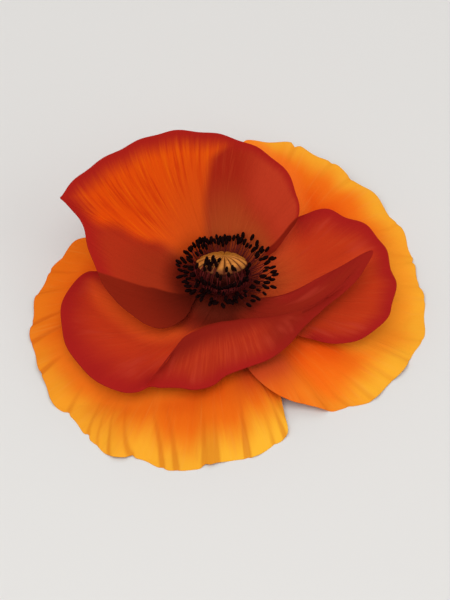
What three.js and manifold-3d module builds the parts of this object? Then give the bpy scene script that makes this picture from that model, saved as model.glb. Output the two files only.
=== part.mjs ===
// A poppy flower, picked with a short stub of its stem and laid face up.
// Millimetres, +Z up, the flower's near side towards -Y. The origin is on the surface the flower lies on,
// under the middle of its box. While a petal is worked out, its own origin is under the ovary instead.
import * as THREE from 'three';
import { mergeVertices } from 'three/addons/utils/BufferGeometryUtils.js';
import Module from 'manifold-3d';

const wasm = await Module();
wasm.setup();

// Driving dimensions

const BLADE = 0.62; // thickness of a petal
const CLAW_RADIUS = 4.7; // where a petal's narrow foot meets the receptacle
const GAP = 0.3; // room between neighbouring pieces

// How far the margin is scalloped in and out, and how far it is ruffled up and down
const OUTER_SCALLOP = 0.7;
const OUTER_RUFFLE = 0.8;
const INNER_SCALLOP = 0.25;
const INNER_RUFFLE = 0.3;

// A petal's rows follow its margin: azimuth in degrees, reach from the ovary, height of the margin,
// height of the blade's shoulder. The belly is the blade's height nearer the foot.
const PETALS = {
  outer_petal_left: {
    colour: 0xf08a1e, clawHeight: 7.2, clawArc: [134, 296], belly: 6.9, stations: 36, rings: 10,
    scallop: OUTER_SCALLOP, ruffle: OUTER_RUFFLE, waves: 15,
    rows: [
      [132, 19.0, 6.6, 6.8],
      [137, 26.0, 6.3, 6.8],
      [141.5, 34.0, 5.4, 6.6],
      [149.5, 41.4, 3.6, 6.2],
      [155, 44.6, 1.4, 5.4],
      [163, 45.8, -2.4, 4.0],
      [176, 47.8, 0.8, 5.0],
      [192, 49.0, 0.2, 4.8],
      [204, 49.6, 0.7, 4.8],
      [214, 51.4, 0.6, 4.6],
      [226.5, 50.8, -2.2, 4.0],
      [238, 53.6, 0.2, 4.6],
      [247, 51.6, 0.6, 4.6],
      [258.5, 51.6, -2.2, 4.0],
      [266, 48.8, 0.5, 4.6],
      [274, 47.6, 0.2, 4.6],
      [283, 46.0, 0.2, 4.6],
      [291, 42.9, 0.4, 4.6],
      [293.5, 38.0, 1.3, 4.8],
      [295.5, 32.0, 2.5, 5.0],
      [296, 22.0, 4.8, 5.8],
    ],
  },
  outer_petal_right: {
    colour: 0xf59a22, clawHeight: 8.25, clawArc: [-76, 102], belly: 8.0, stations: 36, rings: 10,
    scallop: OUTER_SCALLOP, ruffle: OUTER_RUFFLE, waves: 15,
    rows: [
      [-80, 20.0, 7.4, 8.0],
      [-73.5, 27.4, 6.2, 7.6],
      [-68, 32.4, 5.0, 7.2],
      [-63, 35.8, 4.0, 6.8],
      [-55, 39.9, 2.2, 6.2],
      [-46.5, 43.5, -2.2, 4.6],
      [-37, 46.9, 0.3, 5.0],
      [-29, 48.2, 0.7, 5.0],
      [-19, 49.8, 0.6, 5.0],
      [-8, 51.0, -2.4, 4.4],
      [5, 51.0, 0.8, 5.4],
      [18, 51.5, 0.6, 5.8],
      [28, 53.4, -2.6, 5.2],
      [39, 54.1, 1.6, 7.0],
      [47, 53.6, 4.6, 7.8],
      [57, 52.4, 7.4, 8.8],
      [66, 52.0, 9.0, 9.4],
      [76, 51.2, 10.0, 9.8],
      [85, 49.0, 10.3, 9.8],
      [91, 45.0, 10.4, 9.8],
      [95, 36.0, 10.1, 9.5],
      [98, 27.0, 9.4, 9.0],
      [101, 19.0, 8.9, 8.6],
    ],
  },
  inner_petal_right: {
    colour: 0xc23a1e, clawHeight: 9.35, clawArc: [-46, 32], belly: 9.4, stations: 24, rings: 9,
    scallop: INNER_SCALLOP, ruffle: INNER_RUFFLE, waves: 7,
    rows: [
      [-46, 15.0, 9.3, 9.2],
      [-42, 21.0, 8.8, 9.0],
      [-36.5, 27.4, 8.2, 8.8],
      [-31, 33.7, 8.0, 8.6],
      [-24.5, 38.0, 8.1, 8.8],
      [-13, 42.0, 9.0, 9.2],
      [0, 43.4, 10.0, 9.5],
      [11, 42.5, 10.5, 9.7],
      [22, 41.8, 11.2, 10.2],
      [32.5, 38.4, 12.2, 11.2],
      [39.5, 35.6, 12.8, 11.9],
      [44, 31.0, 13.5, 12.4],
      [45.5, 25.0, 13.8, 12.6],
      [44, 17.0, 12.2, 11.8],
    ],
  },
  inner_petal_back: {
    colour: 0xc8401c, clawHeight: 11.5, clawArc: [32, 206], belly: 11.0, stations: 36, rings: 11,
    scallop: INNER_SCALLOP, ruffle: INNER_RUFFLE, waves: 9,
    rows: [
      [31.5, 14.8, 13.5, 12.8],
      [35, 19.0, 16.0, 14.2],
      [36.5, 22.4, 18.6, 15.6],
      [39.5, 24.2, 21.8, 17.5],
      [43.5, 25.2, 24.4, 19.0],
      [48.5, 25.8, 28.0, 21.0],
      [56, 25.7, 31.0, 22.5],
      [65, 24.9, 34.0, 24.0],
      [75, 23.8, 37.0, 25.4],
      [87, 24.0, 38.6, 26.2],
      [98, 24.8, 39.4, 26.8],
      [108, 26.2, 39.5, 27.0],
      [118.5, 28.5, 39.0, 26.6],
      [128, 31.0, 37.5, 25.8],
      [137, 33.7, 35.8, 24.8],
      [147, 37.4, 33.0, 22.8],
      [153, 40.4, 30.0, 21.2],
      [160, 43.2, 26.0, 19.5],
      [161.5, 40.2, 24.4, 18.5],
      [164.5, 36.9, 23.0, 17.8],
      [171, 34.6, 22.0, 17.2],
      [187, 31.3, 20.0, 16.0],
      [196.5, 30.2, 19.0, 15.2],
      [205, 28.8, 17.8, 14.6],
      [213, 27.0, 16.3, 13.9],
      [221, 25.5, 14.9, 13.3],
      [228, 23.0, 13.5, 12.8],
      [232.5, 19.6, 12.8, 12.4],
      [234, 15.6, 12.4, 12.1],
    ],
  },
};

// The front petal is folded: past its left lobe the blade rises in a crest and falls over towards the near
// side. Its rows hold two more places across the blade: azimuth, reach and height of the trough, of the
// crest, and of the margin.
const FOLDED_PETAL = {
  colour: 0xc03a1c, clawHeight: 10.45, clawArc: [212, 308], stations: 44, rings: 13,
  scallop: INNER_SCALLOP, ruffle: INNER_RUFFLE, waves: 9,
  rows: [
    [182.5, 9.5, 10.1, 14.5, 9.9, 18.8, 9.8],
    [175.5, 12.0, 10.0, 19.0, 9.8, 26.0, 9.8],
    [172.5, 14.0, 9.9, 23.0, 9.6, 31.8, 10.0],
    [174, 15.0, 9.8, 25.5, 9.4, 35.2, 9.8],
    [181, 16.0, 9.7, 28.0, 9.2, 39.0, 9.0],
    [194, 17.0, 9.6, 30.0, 8.9, 41.5, 8.0],
    [207, 17.0, 9.6, 31.0, 8.8, 42.5, 7.6],
    [220.5, 17.0, 9.6, 31.0, 8.8, 42.4, 7.4],
    [232, 16.0, 9.7, 30.5, 9.2, 40.8, 7.6],
    [238, 15.5, 9.8, 33.0, 10.4, 38.6, 8.3],
    [240.8, 15.0, 9.8, 32.6, 14.0, 36.2, 8.8],
    [244.3, 14.6, 9.9, 25.8, 16.4, 35.3, 8.6],
    [247.9, 14.2, 9.9, 23.5, 16.9, 34.1, 8.4],
    [252.6, 13.8, 10.0, 22.4, 17.2, 33.1, 8.2],
    [258, 13.5, 10.0, 21.3, 17.4, 32.6, 8.0],
    [265.5, 13.2, 10.0, 20.2, 17.5, 30.9, 8.2],
    [272, 13.0, 10.0, 19.4, 17.6, 28.1, 8.8],
    [282.3, 13.0, 10.0, 19.0, 17.6, 26.5, 9.0],
    [296.1, 13.0, 10.1, 18.9, 17.5, 26.2, 9.5],
    [308.7, 13.6, 10.2, 19.3, 17.0, 25.5, 10.5],
    [324, 15.0, 11.0, 20.8, 16.4, 25.2, 11.8],
    [338, 16.6, 11.8, 22.8, 15.7, 27.0, 12.8],
    [350, 18.2, 12.6, 25.4, 15.3, 31.0, 13.8],
    [360, 18.0, 12.5, 27.0, 14.8, 34.8, 14.8],
    [369, 17.0, 12.3, 28.4, 14.8, 37.8, 16.0],
    [364.5, 14.5, 12.0, 22.5, 13.4, 30.5, 14.4],
    [357.5, 12.0, 11.8, 18.5, 12.8, 24.5, 13.4],
    [340, 9.0, 11.6, 12.8, 11.8, 16.5, 11.8],
  ],
};

// Ovary with the ribbed stigma cap that becomes the lid of the seed head
const OVARY = {
  colour: 0xc89a3c, foot: 12.2, wallRadius: 5.0, capRadius: 6.5, capHeight: 5.2, domeHeight: 2.9,
  rays: 13, rayDepth: 0.3, lean: 23,
};

// Stamens: a collar of joined feet, thin filaments, and anthers like grains of rice
const STAMENS = {
  colour: 0x2a0710, collarInner: 4.05, collarOuter: 5.3, collarBottom: 12.2, collarTop: 13.2,
  footDepth: 0.6, filament: 0.2, antherLength: 1.8, antherRadius: 0.38, seed: 11,
};

// Whorls of stamens, from the inside: how many, reach of the feet, then reach and height of the tips, each
// at the near side, at the sides and at the back
const WHORLS = [
  [28, 4.3, [7.6, 9.0, 9.0], [15.4, 16.2, 15.3]],
  [30, 4.5, [8.5, 10.4, 9.1], [14.8, 15.8, 16.0]],
  [32, 4.8, [9.5, 11.8, 9.7], [14.2, 15.2, 16.4]],
];

// Stamens at the near side alone: azimuths, and [reach, height] of foot, bow and tip. A close row stands before
// the ovary, and a few more bend in over its cap.
const NEAR_STAMENS = [
  {
    azimuths: [-147, -137, -127, -118, -109, -99, -90, -81, -72, -62, -52, -42],
    foot: [4.4, 12.6], bow: [6.9, 13.0], tip: [6.4, 15.6], heading: [0.2, 1],
  },
  {
    azimuths: [-152, -144, -137, -130, -123, -115, -106, -76, -62, -52],
    foot: [4.6, 12.6], bow: [11.4, 18.6], tip: [4.7, 21.6], heading: [-0.4, 1],
  },
];

// Receptacle: the widened end of the stem that carries everything, with the stub below it
const RECEPTACLE = {
  colour: 0x7c8a45, stubRadius: 1.6, neckRadius: CLAW_RADIUS - GAP, neckBottom: 6.6, top: OVARY.foot - GAP,
};

// Tools

const radians = THREE.MathUtils.degToRad;

// Smooth curve through the rows, each column on its own (Catmull-Rom)
function throughRows(rows, u) {
  const last = rows.length - 1;
  const i = Math.min(Math.floor(u), last - 1);
  const f = u - i;
  const row = (k) => rows[Math.min(Math.max(k, 0), last)];
  return rows[0].map((_, c) => {
    const b = row(i)[c];
    const d = row(i + 1)[c];
    const a = i > 0 ? row(i - 1)[c] : 2 * b - d;
    const e = i + 2 <= last ? row(i + 2)[c] : 2 * d - b;
    return 0.5 * (2 * b + (d - a) * f + (2 * a - 5 * b + 4 * d - e) * f * f
      + (3 * b - a - 3 * d + e) * f * f * f);
  });
}

// Rows read off at even steps along the margin, whose place `place` takes from a row
function evenRows(rows, count, place) {
  const steps = 40 * rows.length;
  const fine = Array.from({ length: steps + 1 }, (_, k) => throughRows(rows, (k / steps) * (rows.length - 1)));
  const travelled = [0];
  for (let k = 1; k <= steps; k += 1) {
    travelled.push(travelled[k - 1] + place(fine[k]).distanceTo(place(fine[k - 1])));
  }
  return Array.from({ length: count }, (_, k) => {
    const goal = (k / (count - 1)) * travelled[steps];
    const next = Math.max(1, travelled.findIndex((d) => d >= goal - 1e-9));
    const part = (goal - travelled[next - 1]) / (travelled[next] - travelled[next - 1]);
    return throughRows(rows, ((next - 1 + part) / steps) * (rows.length - 1));
  });
}

function onCircle(azimuth, reach, height) {
  return new THREE.Vector3(reach * Math.cos(radians(azimuth)), reach * Math.sin(radians(azimuth)), height);
}

// Spoke of an open petal: reach grows evenly, and height follows foot, belly, shoulder and margin (Bezier)
function openSpoke(petal, [, reach, rim, shoulder], t) {
  const r = 1 - t;
  const inner = r ** 3 * petal.clawHeight + 3 * r * r * t * petal.belly;
  const height = inner + 3 * r * t * t * shoulder + t ** 3 * rim;
  return [THREE.MathUtils.lerp(CLAW_RADIUS, reach, t), height];
}

// Spoke of the folded petal: a smooth curve through foot, trough, crest and margin
function foldedSpoke(petal, [, reach1, height1, reach2, height2, reach3, height3], t) {
  const knots = [[CLAW_RADIUS, petal.clawHeight], [reach1, height1], [reach2, height2], [reach3, height3]];
  return throughRows(knots, 3 * t);
}

// Middle surface of a petal: spokes run from its foot on the receptacle to its margin and fan out as they go.
// Near the margin they are scalloped and ruffled by two sine waves of unlike length.
function petalGrid(petal, spoke) {
  const { stations, rings, clawArc, waves } = petal;
  const margin = (row) => onCircle(row[0], ...spoke(petal, row, 1));
  return evenRows(petal.rows, stations, margin).map((row, i) => {
    const s = i / (stations - 1);
    const foot = THREE.MathUtils.lerp(clawArc[0], clawArc[1], s);
    const wave = Math.sin(2 * Math.PI * waves * s) + 0.6 * Math.sin(2 * Math.PI * 0.37 * waves * s + 1);
    return Array.from({ length: rings }, (_, j) => {
      const t = j / (rings - 1);
      const edge = t ** 5;
      const azimuth = foot + (row[0] - foot) * t * t * (3 - 2 * t);
      const [reach, height] = spoke(petal, row, t);
      return onCircle(azimuth, reach + petal.scallop * wave * edge, height + petal.ruffle * wave * edge);
    });
  });
}

// Upward normals of a grid of points, from its neighbours
function gridNormals(grid) {
  const lastSpoke = grid.length - 1;
  const lastRing = grid[0].length - 1;
  return grid.map((spoke, i) => spoke.map((_, j) => {
    const along = grid[Math.min(i + 1, lastSpoke)][j].clone().sub(grid[Math.max(i - 1, 0)][j]);
    const out = spoke[Math.min(j + 1, lastRing)].clone().sub(spoke[Math.max(j - 1, 0)]);
    return out.cross(along).normalize();
  }));
}

// Closed shell of even thickness round a grid: two faces split into like triangles, and a rim between them.
// Nothing reaches below the surface that the flower lies on, so what would is pressed flat there.
function shell(grid, thickness) {
  const spokes = grid.length;
  const rings = grid[0].length;
  const normals = gridNormals(grid);
  const lower = grid.map((spoke, i) => spoke.map((p, j) => {
    const q = p.clone().addScaledVector(normals[i][j], -thickness / 2);
    q.z = Math.max(q.z, 0);
    return q;
  }));
  const upper = grid.map((spoke, i) => spoke.map((p, j) => {
    const q = p.clone().addScaledVector(normals[i][j], thickness / 2);
    q.z = lower[i][j].z > 0 ? q.z : Math.max(q.z, thickness);
    return q;
  }));
  const positions = [...upper.flat(), ...lower.flat()].flatMap((p) => [p.x, p.y, p.z]);
  const half = spokes * rings;
  const top = (i, j) => i * rings + j;
  const triangles = [];
  for (let i = 0; i < spokes - 1; i += 1) {
    for (let j = 0; j < rings - 1; j += 1) {
      const [a, b, c, d] = [top(i, j), top(i, j + 1), top(i + 1, j + 1), top(i + 1, j)];
      triangles.push(a, b, c, a, c, d);
      triangles.push(half + a, half + c, half + b, half + a, half + d, half + c);
    }
  }
  const margin = [];
  for (let j = 0; j < rings - 1; j += 1) margin.push(top(0, j));
  for (let i = 0; i < spokes - 1; i += 1) margin.push(top(i, rings - 1));
  for (let j = rings - 1; j > 0; j -= 1) margin.push(top(spokes - 1, j));
  for (let i = spokes - 1; i > 0; i -= 1) margin.push(top(i, 0));
  margin.forEach((a, k) => {
    const b = margin[(k + 1) % margin.length];
    triangles.push(a, half + a, half + b, a, half + b, b);
  });
  return solidGeometry(positions, triangles);
}

function solidGeometry(positions, triangles) {
  const geometry = new THREE.BufferGeometry();
  geometry.setAttribute('position', new THREE.Float32BufferAttribute(positions, 3));
  geometry.setIndex(triangles);
  return geometry;
}

// A closed three.js geometry as a manifold solid, and back
function toManifold(geometry) {
  const bare = geometry.clone();
  bare.deleteAttribute('normal');
  bare.deleteAttribute('uv');
  const welded = mergeVertices(bare, 1e-4);
  return new wasm.Manifold(new wasm.Mesh({
    numProp: 3,
    vertProperties: new Float32Array(welded.attributes.position.array),
    triVerts: new Uint32Array(welded.index.array),
  }));
}

function toGeometry(solid) {
  const mesh = solid.getMesh();
  return solidGeometry(Array.from(mesh.vertProperties), Array.from(mesh.triVerts));
}

// Seeded draw between 0 and 1 (a linear congruential generator)
function seededDraw(seed) {
  let state = seed;
  return () => {
    state = (state * 1664525 + 1013904223) % 4294967296;
    return state / 4294967296;
  };
}

// The turned piece of a profile of [radius, height] points, about the upright axis
function turned(profile, sides) {
  const lathe = new THREE.LatheGeometry(profile.map(([r, z]) => new THREE.Vector2(r, z)), sides);
  return lathe.rotateX(Math.PI / 2);
}

// Pieces

function petalGeometry(petal, spoke) {
  return shell(petalGrid(petal, spoke), BLADE);
}

// Ovary: a small barrel under a wide cap. The cap's rays are ridges that meet at the middle, and its edge is
// scalloped between them. Its axis bends back from the near side as it rises.
function ovaryGeometry() {
  const { wallRadius, capRadius, capHeight, domeHeight, rays, rayDepth } = OVARY;
  const barrel = [[0, 0], [0.5, 0], [0.62, 0.2], [0.86, 0.46], [1, 0.72], [0.93, 0.9]]
    .map(([out, up]) => [out * wallRadius, up * capHeight]);
  const edge = [[capRadius * 0.97, capHeight - 0.35], [capRadius, capHeight]];
  const dome = [0.88, 0.68, 0.44, 0.2, 0]
    .map((part) => [capRadius * part, capHeight + domeHeight * (1 - part ** 2.2)]);
  const geometry = turned([...barrel, ...edge, ...dome], rays * 4);
  const p = geometry.attributes.position;
  for (let k = 0; k < p.count; k += 1) {
    let [x, y, z] = [p.getX(k), p.getY(k), p.getZ(k)];
    const reach = Math.hypot(x, y) / capRadius;
    if (z > capHeight - 0.5 && reach > 0.01) {
      const ray = Math.cos(rays * Math.atan2(y, x));
      const grow = 1 + (rayDepth / capRadius) * ray * reach;
      [x, y] = [x * grow, y * grow];
      z += 0.6 * rayDepth * ray * Math.min(1, 2 * reach);
    }
    const bend = radians(OVARY.lean) * Math.min(1, z / capHeight);
    p.setXYZ(k, x, y * Math.cos(bend) + z * Math.sin(bend / 2), z * Math.cos(bend / 2) - y * Math.sin(bend));
  }
  return geometry.translate(0, 0, OVARY.foot);
}

// One stamen, swept with four sides: a filament through foot, bow and tip, all [reach, height], which swells
// into an anther at the tip and heads off as `heading` says
function stamenGeometry(azimuth, foot, bow, tip, heading) {
  const { filament, antherLength, antherRadius } = STAMENS;
  const path = new THREE.QuadraticBezierCurve3(...[foot, bow, tip].map(([r, z]) => new THREE.Vector3(r, 0, z)));
  const along = new THREE.Vector3(heading[0], 0, heading[1]).normalize();
  const end = path.getPoint(1);
  const rings = [
    ...[0, 0.5, 1].map((u) => [path.getPoint(u), path.getTangent(u), filament * (1.2 - 0.4 * u)]),
    ...[[0.3, 1], [0.75, 0.9]].map(([part, width]) => [
      end.clone().addScaledVector(along, part * antherLength), along, width * antherRadius]),
  ];
  const positions = rings.flatMap(([centre, direction, radius]) => {
    const side = new THREE.Vector3(0, radius, 0);
    const over = new THREE.Vector3().crossVectors(direction, side);
    const corners = [side, over, side.clone().negate(), over.clone().negate()];
    return corners.flatMap((corner) => centre.clone().add(corner).toArray());
  });
  positions.push(...end.clone().addScaledVector(along, antherLength).toArray());
  const triangles = [0, 2, 1, 0, 3, 2];
  for (let ring = 0; ring < rings.length - 1; ring += 1) {
    for (let k = 0; k < 4; k += 1) {
      const [a, b] = [4 * ring + k, 4 * ring + ((k + 1) % 4)];
      triangles.push(a, b + 4, a + 4, a, b, b + 4);
    }
  }
  const last = 4 * (rings.length - 1);
  for (let k = 0; k < 4; k += 1) triangles.push(last + k, last + ((k + 1) % 4), last + 4);
  return solidGeometry(positions, triangles).rotateZ(azimuth);
}

// A number that changes smoothly from the near side by way of the sides to the back
function roundTheAxis([near, side, back], azimuth) {
  const s = Math.sin(azimuth);
  return side + ((s > 0 ? back : near) - side) * s * s;
}

// Stamens: three whorls round the ovary, the outer ones longer, and those of the near side
function stamensGeometry() {
  const { collarInner, collarOuter, collarBottom, collarTop, footDepth, seed } = STAMENS;
  const draw = seededDraw(seed);
  const spread = (width) => width * (draw() - 0.5);
  let bunch = toManifold(turned([
    [collarInner, collarBottom], [collarOuter, collarBottom], [collarOuter, collarTop],
    [collarInner, collarTop], [collarInner, collarBottom]], 26));
  const sunk = collarTop - footDepth;
  WHORLS.forEach(([count, root, reaches, heights]) => {
    for (let k = 0; k < count; k += 1) {
      const azimuth = (2 * Math.PI * (k + 0.7 * draw())) / count;
      const out = roundTheAxis(reaches, azimuth) + 0.6 * Math.cos(azimuth) + spread(0.8);
      const up = roundTheAxis(heights, azimuth) + spread(0.9);
      const bend = [root + 0.88 * (out - root), sunk + 0.28 * (up - sunk)];
      const heading = [1, 0.3 + 1.3 * Math.max(0, Math.sin(azimuth))];
      bunch = bunch.add(toManifold(stamenGeometry(azimuth, [root, sunk], bend, [out, up], heading)));
    }
  });
  NEAR_STAMENS.forEach(({ azimuths, foot, bow, tip, heading }) => {
    azimuths.forEach((azimuth) => {
      const end = [tip[0] + spread(0.8), tip[1] + spread(0.6)];
      bunch = bunch.add(toManifold(stamenGeometry(radians(azimuth), foot, bow, end, heading)));
    });
  });
  return toGeometry(bunch);
}

// Receptacle: stub of stem with a flat cut end, widening to the neck that the petals and stamens grow from
function receptacleGeometry() {
  const { stubRadius, neckRadius, neckBottom, top } = RECEPTACLE;
  return turned([
    [0, 0], [stubRadius, 0], [stubRadius, neckBottom * 0.55], [stubRadius * 1.25, neckBottom * 0.8],
    [neckRadius, neckBottom], [neckRadius, top], [0, top]], 24);
}

// Assembly

const flower = new THREE.Group();

function addPiece(name, geometry, colour) {
  const material = new THREE.MeshStandardMaterial({ color: colour, roughness: 0.65, metalness: 0 });
  const mesh = new THREE.Mesh(geometry, material);
  mesh.name = name;
  flower.add(mesh);
}

Object.entries(PETALS).forEach(([name, petal]) => {
  addPiece(name, petalGeometry(petal, openSpoke), petal.colour);
});
addPiece('inner_petal_front', petalGeometry(FOLDED_PETAL, foldedSpoke), FOLDED_PETAL.colour);
addPiece('ovary', ovaryGeometry(), OVARY.colour);
addPiece('stamens', stamensGeometry(), STAMENS.colour);
addPiece('receptacle', receptacleGeometry(), RECEPTACLE.colour);

// The middle of the flower's box goes over the origin
const box = new THREE.Box3().setFromObject(flower);
const middle = box.getCenter(new THREE.Vector3());
flower.position.set(-middle.x, -middle.y, -box.min.z);

export default flower;
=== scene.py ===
# %% [markdown]
# A poppy flower, laid face up
#
# The flower was picked with a short stub of stem and lies open on a pale surface. Two broad yellow-orange
# petals spread flat, and three red ones stand in them: one at the right, one at the front whose margin is
# folded over like a lip, and one at the back that rises like half a cup. In their midst is a ribbed
# golden ovary in a ring of near-black stamens.
#
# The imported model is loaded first. It gives the true size and place of each piece, and each piece that is
# made here takes the place of one of its nodes.

import math

import bmesh
import bpy
import numpy as np
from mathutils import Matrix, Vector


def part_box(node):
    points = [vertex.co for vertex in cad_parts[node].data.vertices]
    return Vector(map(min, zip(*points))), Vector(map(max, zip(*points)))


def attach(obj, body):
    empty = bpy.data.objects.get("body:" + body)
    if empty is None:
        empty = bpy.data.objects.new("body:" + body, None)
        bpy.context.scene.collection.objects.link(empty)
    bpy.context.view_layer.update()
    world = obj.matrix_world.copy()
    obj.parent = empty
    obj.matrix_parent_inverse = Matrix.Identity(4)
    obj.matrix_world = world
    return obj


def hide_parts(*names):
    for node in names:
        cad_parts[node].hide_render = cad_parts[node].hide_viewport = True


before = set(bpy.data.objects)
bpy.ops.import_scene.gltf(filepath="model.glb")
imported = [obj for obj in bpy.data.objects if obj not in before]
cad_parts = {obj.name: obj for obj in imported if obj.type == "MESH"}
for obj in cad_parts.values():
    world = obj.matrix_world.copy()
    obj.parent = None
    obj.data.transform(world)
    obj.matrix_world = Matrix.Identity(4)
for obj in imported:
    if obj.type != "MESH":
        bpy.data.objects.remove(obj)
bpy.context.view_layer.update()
print("nodes of the packed model:", ", ".join(sorted(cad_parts)))

# %% [markdown]
# Where the flower grows from
#
# Shapes are worked out in millimetres round the flower's own axis, which is easier to read than metres
# round the middle of the whole box. The axis runs up the middle of the receptacle, so the receptacle's box
# says where it is. All pieces go through one function that carries them there.

# %% The flower's axis
MM = 0.001
lowest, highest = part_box("receptacle")
AXIS = np.array([(lowest[0] + highest[0]) / 2, (lowest[1] + highest[1]) / 2, 0.0])
print("the axis stands at", (AXIS / MM).round(2), "mm")


# %% Points into a mesh
def grid_faces(across, along, first=0, flip=False, wrap=False):
    """Four-cornered faces of a grid whose points are numbered row by row, with `along` points to a row.
    With wrap the last row is joined to the first one."""
    rows = np.arange(across if wrap else across - 1)
    i, j = np.meshgrid(rows, np.arange(along - 1), indexing="ij")
    after = (i + 1) % across
    corners = [i * along + j, i * along + j + 1, after * along + j + 1, after * along + j]
    faces = np.stack(corners, -1).reshape(-1, 4) + first
    return faces[:, ::-1] if flip else faces


def make_piece(name, points, faces, node, uv=None, marks=None):
    """A smooth mesh object of points in millimetres round the axis, which stands for a node of the model.
    Faces are an array, or a list where some have more corners than others. Marks are numbers kept at each
    point for the finish to read."""
    mesh = bpy.data.meshes.new(name)
    places = points * MM + AXIS
    mesh.from_pydata(places.tolist(), [], faces if isinstance(faces, list) else faces.tolist())
    mesh.shade_smooth()
    if uv is not None:
        corner_points = np.zeros(len(mesh.loops), np.int32)
        mesh.loops.foreach_get("vertex_index", corner_points)
        mesh.uv_layers.new(name="blade").data.foreach_set("uv", uv[corner_points].ravel())
    for mark, values in (marks or {}).items():
        attribute = mesh.attributes.new(mark, "FLOAT", "POINT")
        attribute.data.foreach_set("value", values.astype(np.float32).ravel())
    piece = bpy.data.objects.new(name, mesh)
    bpy.context.scene.collection.objects.link(piece)
    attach(piece, "root")
    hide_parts(node)
    print(f"{name}: {len(faces)} faces, {np.ptp(points, axis=0).round(1)} mm")
    return piece


# %% [markdown]
# The petals' outlines
#
# A petal grows from a narrow foot on the receptacle and fans out to its margin. Its shape is told by rows
# that follow the margin from one side to the other: the direction from the axis in degrees, how far out the
# margin is, how high it is, and how high the blade's shoulder is, a third of the way in. The foot's height
# stacks the petals, because each one starts just above the one below it.

# %% Rows of the open petals
FOOT_RADIUS = 4.2
OPEN_PETALS = {
    "outer_petal_left": {
        "foot_height": 7.2, "foot_arc": (130, 300), "belly": 6.9, "scallop": 0.35, "waves": 15,
        "rows": [
            (132, 19.0, 6.6, 6.8), (137, 26.0, 6.3, 6.8), (141.5, 34.0, 5.4, 6.6), (149.5, 41.4, 3.6, 6.2),
            (155, 44.6, 1.4, 5.4), (163, 45.8, -2.4, 4.0), (176, 47.8, 0.8, 5.0), (192, 49.0, 0.2, 4.8),
            (204, 49.6, 0.7, 4.8), (214, 51.4, 0.6, 4.6), (226.5, 50.8, -2.2, 4.0), (238, 53.6, 0.2, 4.6),
            (247, 51.6, 0.6, 4.6), (258.5, 51.6, -2.2, 4.0), (266, 48.8, 0.5, 4.6), (274, 47.6, 0.2, 4.6),
            (283, 46.0, 0.2, 4.6), (291, 42.9, 0.4, 4.6), (293.5, 38.0, 1.3, 4.8), (295.5, 32.0, 2.5, 5.0),
            (296, 22.0, 4.8, 5.8),
        ],
    },
    "outer_petal_right": {
        "foot_height": 8.25, "foot_arc": (-80, 106), "belly": 8.0, "scallop": 0.35, "waves": 15,
        "rows": [
            (-80, 20.0, 7.4, 8.0), (-73.5, 27.4, 6.2, 7.6), (-68, 32.4, 5.0, 7.2), (-63, 35.8, 4.0, 6.8),
            (-55, 39.9, 2.2, 6.2), (-46.5, 43.5, -2.2, 4.6), (-37, 46.9, 0.3, 5.0), (-29, 48.2, 0.7, 5.0),
            (-19, 49.8, 0.6, 5.0), (-8, 51.0, -2.4, 4.4), (5, 51.0, 0.8, 5.4), (18, 51.5, 0.6, 5.8),
            (28, 53.4, -2.6, 5.2), (39, 54.1, 1.6, 7.0), (47, 53.6, 4.6, 7.8), (57, 52.4, 7.4, 8.8),
            (66, 52.0, 9.0, 9.4), (76, 51.2, 10.0, 9.8), (85, 49.0, 10.3, 9.8), (91, 45.0, 10.4, 9.8),
            (95, 36.0, 10.1, 9.5), (98, 27.0, 9.4, 9.0), (101, 19.0, 8.9, 8.6),
        ],
    },
    "inner_petal_right": {
        "foot_height": 9.35, "foot_arc": (-52, 38), "belly": 9.4, "scallop": 0.3, "waves": 9,
        "rows": [
            (-46, 15.0, 9.3, 9.2), (-42, 21.0, 8.8, 9.0), (-36.5, 27.4, 8.2, 8.8), (-31, 33.7, 8.0, 8.6),
            (-24.5, 38.0, 8.1, 8.8), (-13, 42.0, 9.0, 9.2), (0, 43.4, 10.0, 9.5), (11, 42.5, 10.5, 9.7),
            (22, 41.8, 11.2, 10.2), (32.5, 38.4, 12.2, 11.2), (39.5, 35.6, 12.8, 11.9),
            (44, 31.0, 13.5, 12.4), (44.5, 24.8, 13.8, 12.6), (42, 17.2, 12.2, 11.8),
        ],
    },
    "inner_petal_back": {
        "foot_height": 11.5, "foot_arc": (28, 214), "belly": 11.0, "scallop": 0.14, "waves": 14,
        "rows": [
            (31.5, 15.5, 13.5, 12.8), (35, 19.8, 16.0, 14.2), (36.5, 23.2, 18.6, 15.6),
            (39.5, 24.8, 21.8, 17.5), (43.5, 25.5, 24.4, 19.0), (48.5, 25.8, 28.0, 21.0),
            (56, 25.7, 31.0, 22.5), (65, 24.9, 34.0, 24.0), (75, 23.8, 37.0, 25.4), (87, 24.0, 38.6, 26.2),
            (98, 24.8, 39.4, 26.8), (108, 26.2, 39.5, 27.0), (118.5, 28.5, 39.0, 26.6),
            (128, 31.0, 37.5, 25.8), (137, 33.7, 35.8, 24.8), (147, 37.4, 33.0, 22.8),
            (153, 40.4, 30.0, 21.2), (158.9, 42.7, 26.8, 19.9), (160, 43.4, 26.0, 19.5),
            (160.4, 42.4, 25.6, 19.2), (161.5, 40.2, 24.4, 18.5), (164.5, 36.9, 23.0, 17.8),
            (171, 34.6, 22.0, 17.2), (187, 31.3, 20.0, 16.0), (196.5, 30.2, 19.0, 15.2),
            (205, 28.8, 17.8, 14.6), (213, 27.0, 16.3, 13.9), (221, 25.5, 14.9, 13.3),
            (228, 23.0, 13.5, 12.8), (232.5, 19.6, 12.8, 12.4), (234, 15.6, 12.4, 12.1),
        ],
    },
}
print("rows of the open petals:", {name: len(petal["rows"]) for name, petal in OPEN_PETALS.items()})

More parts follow.
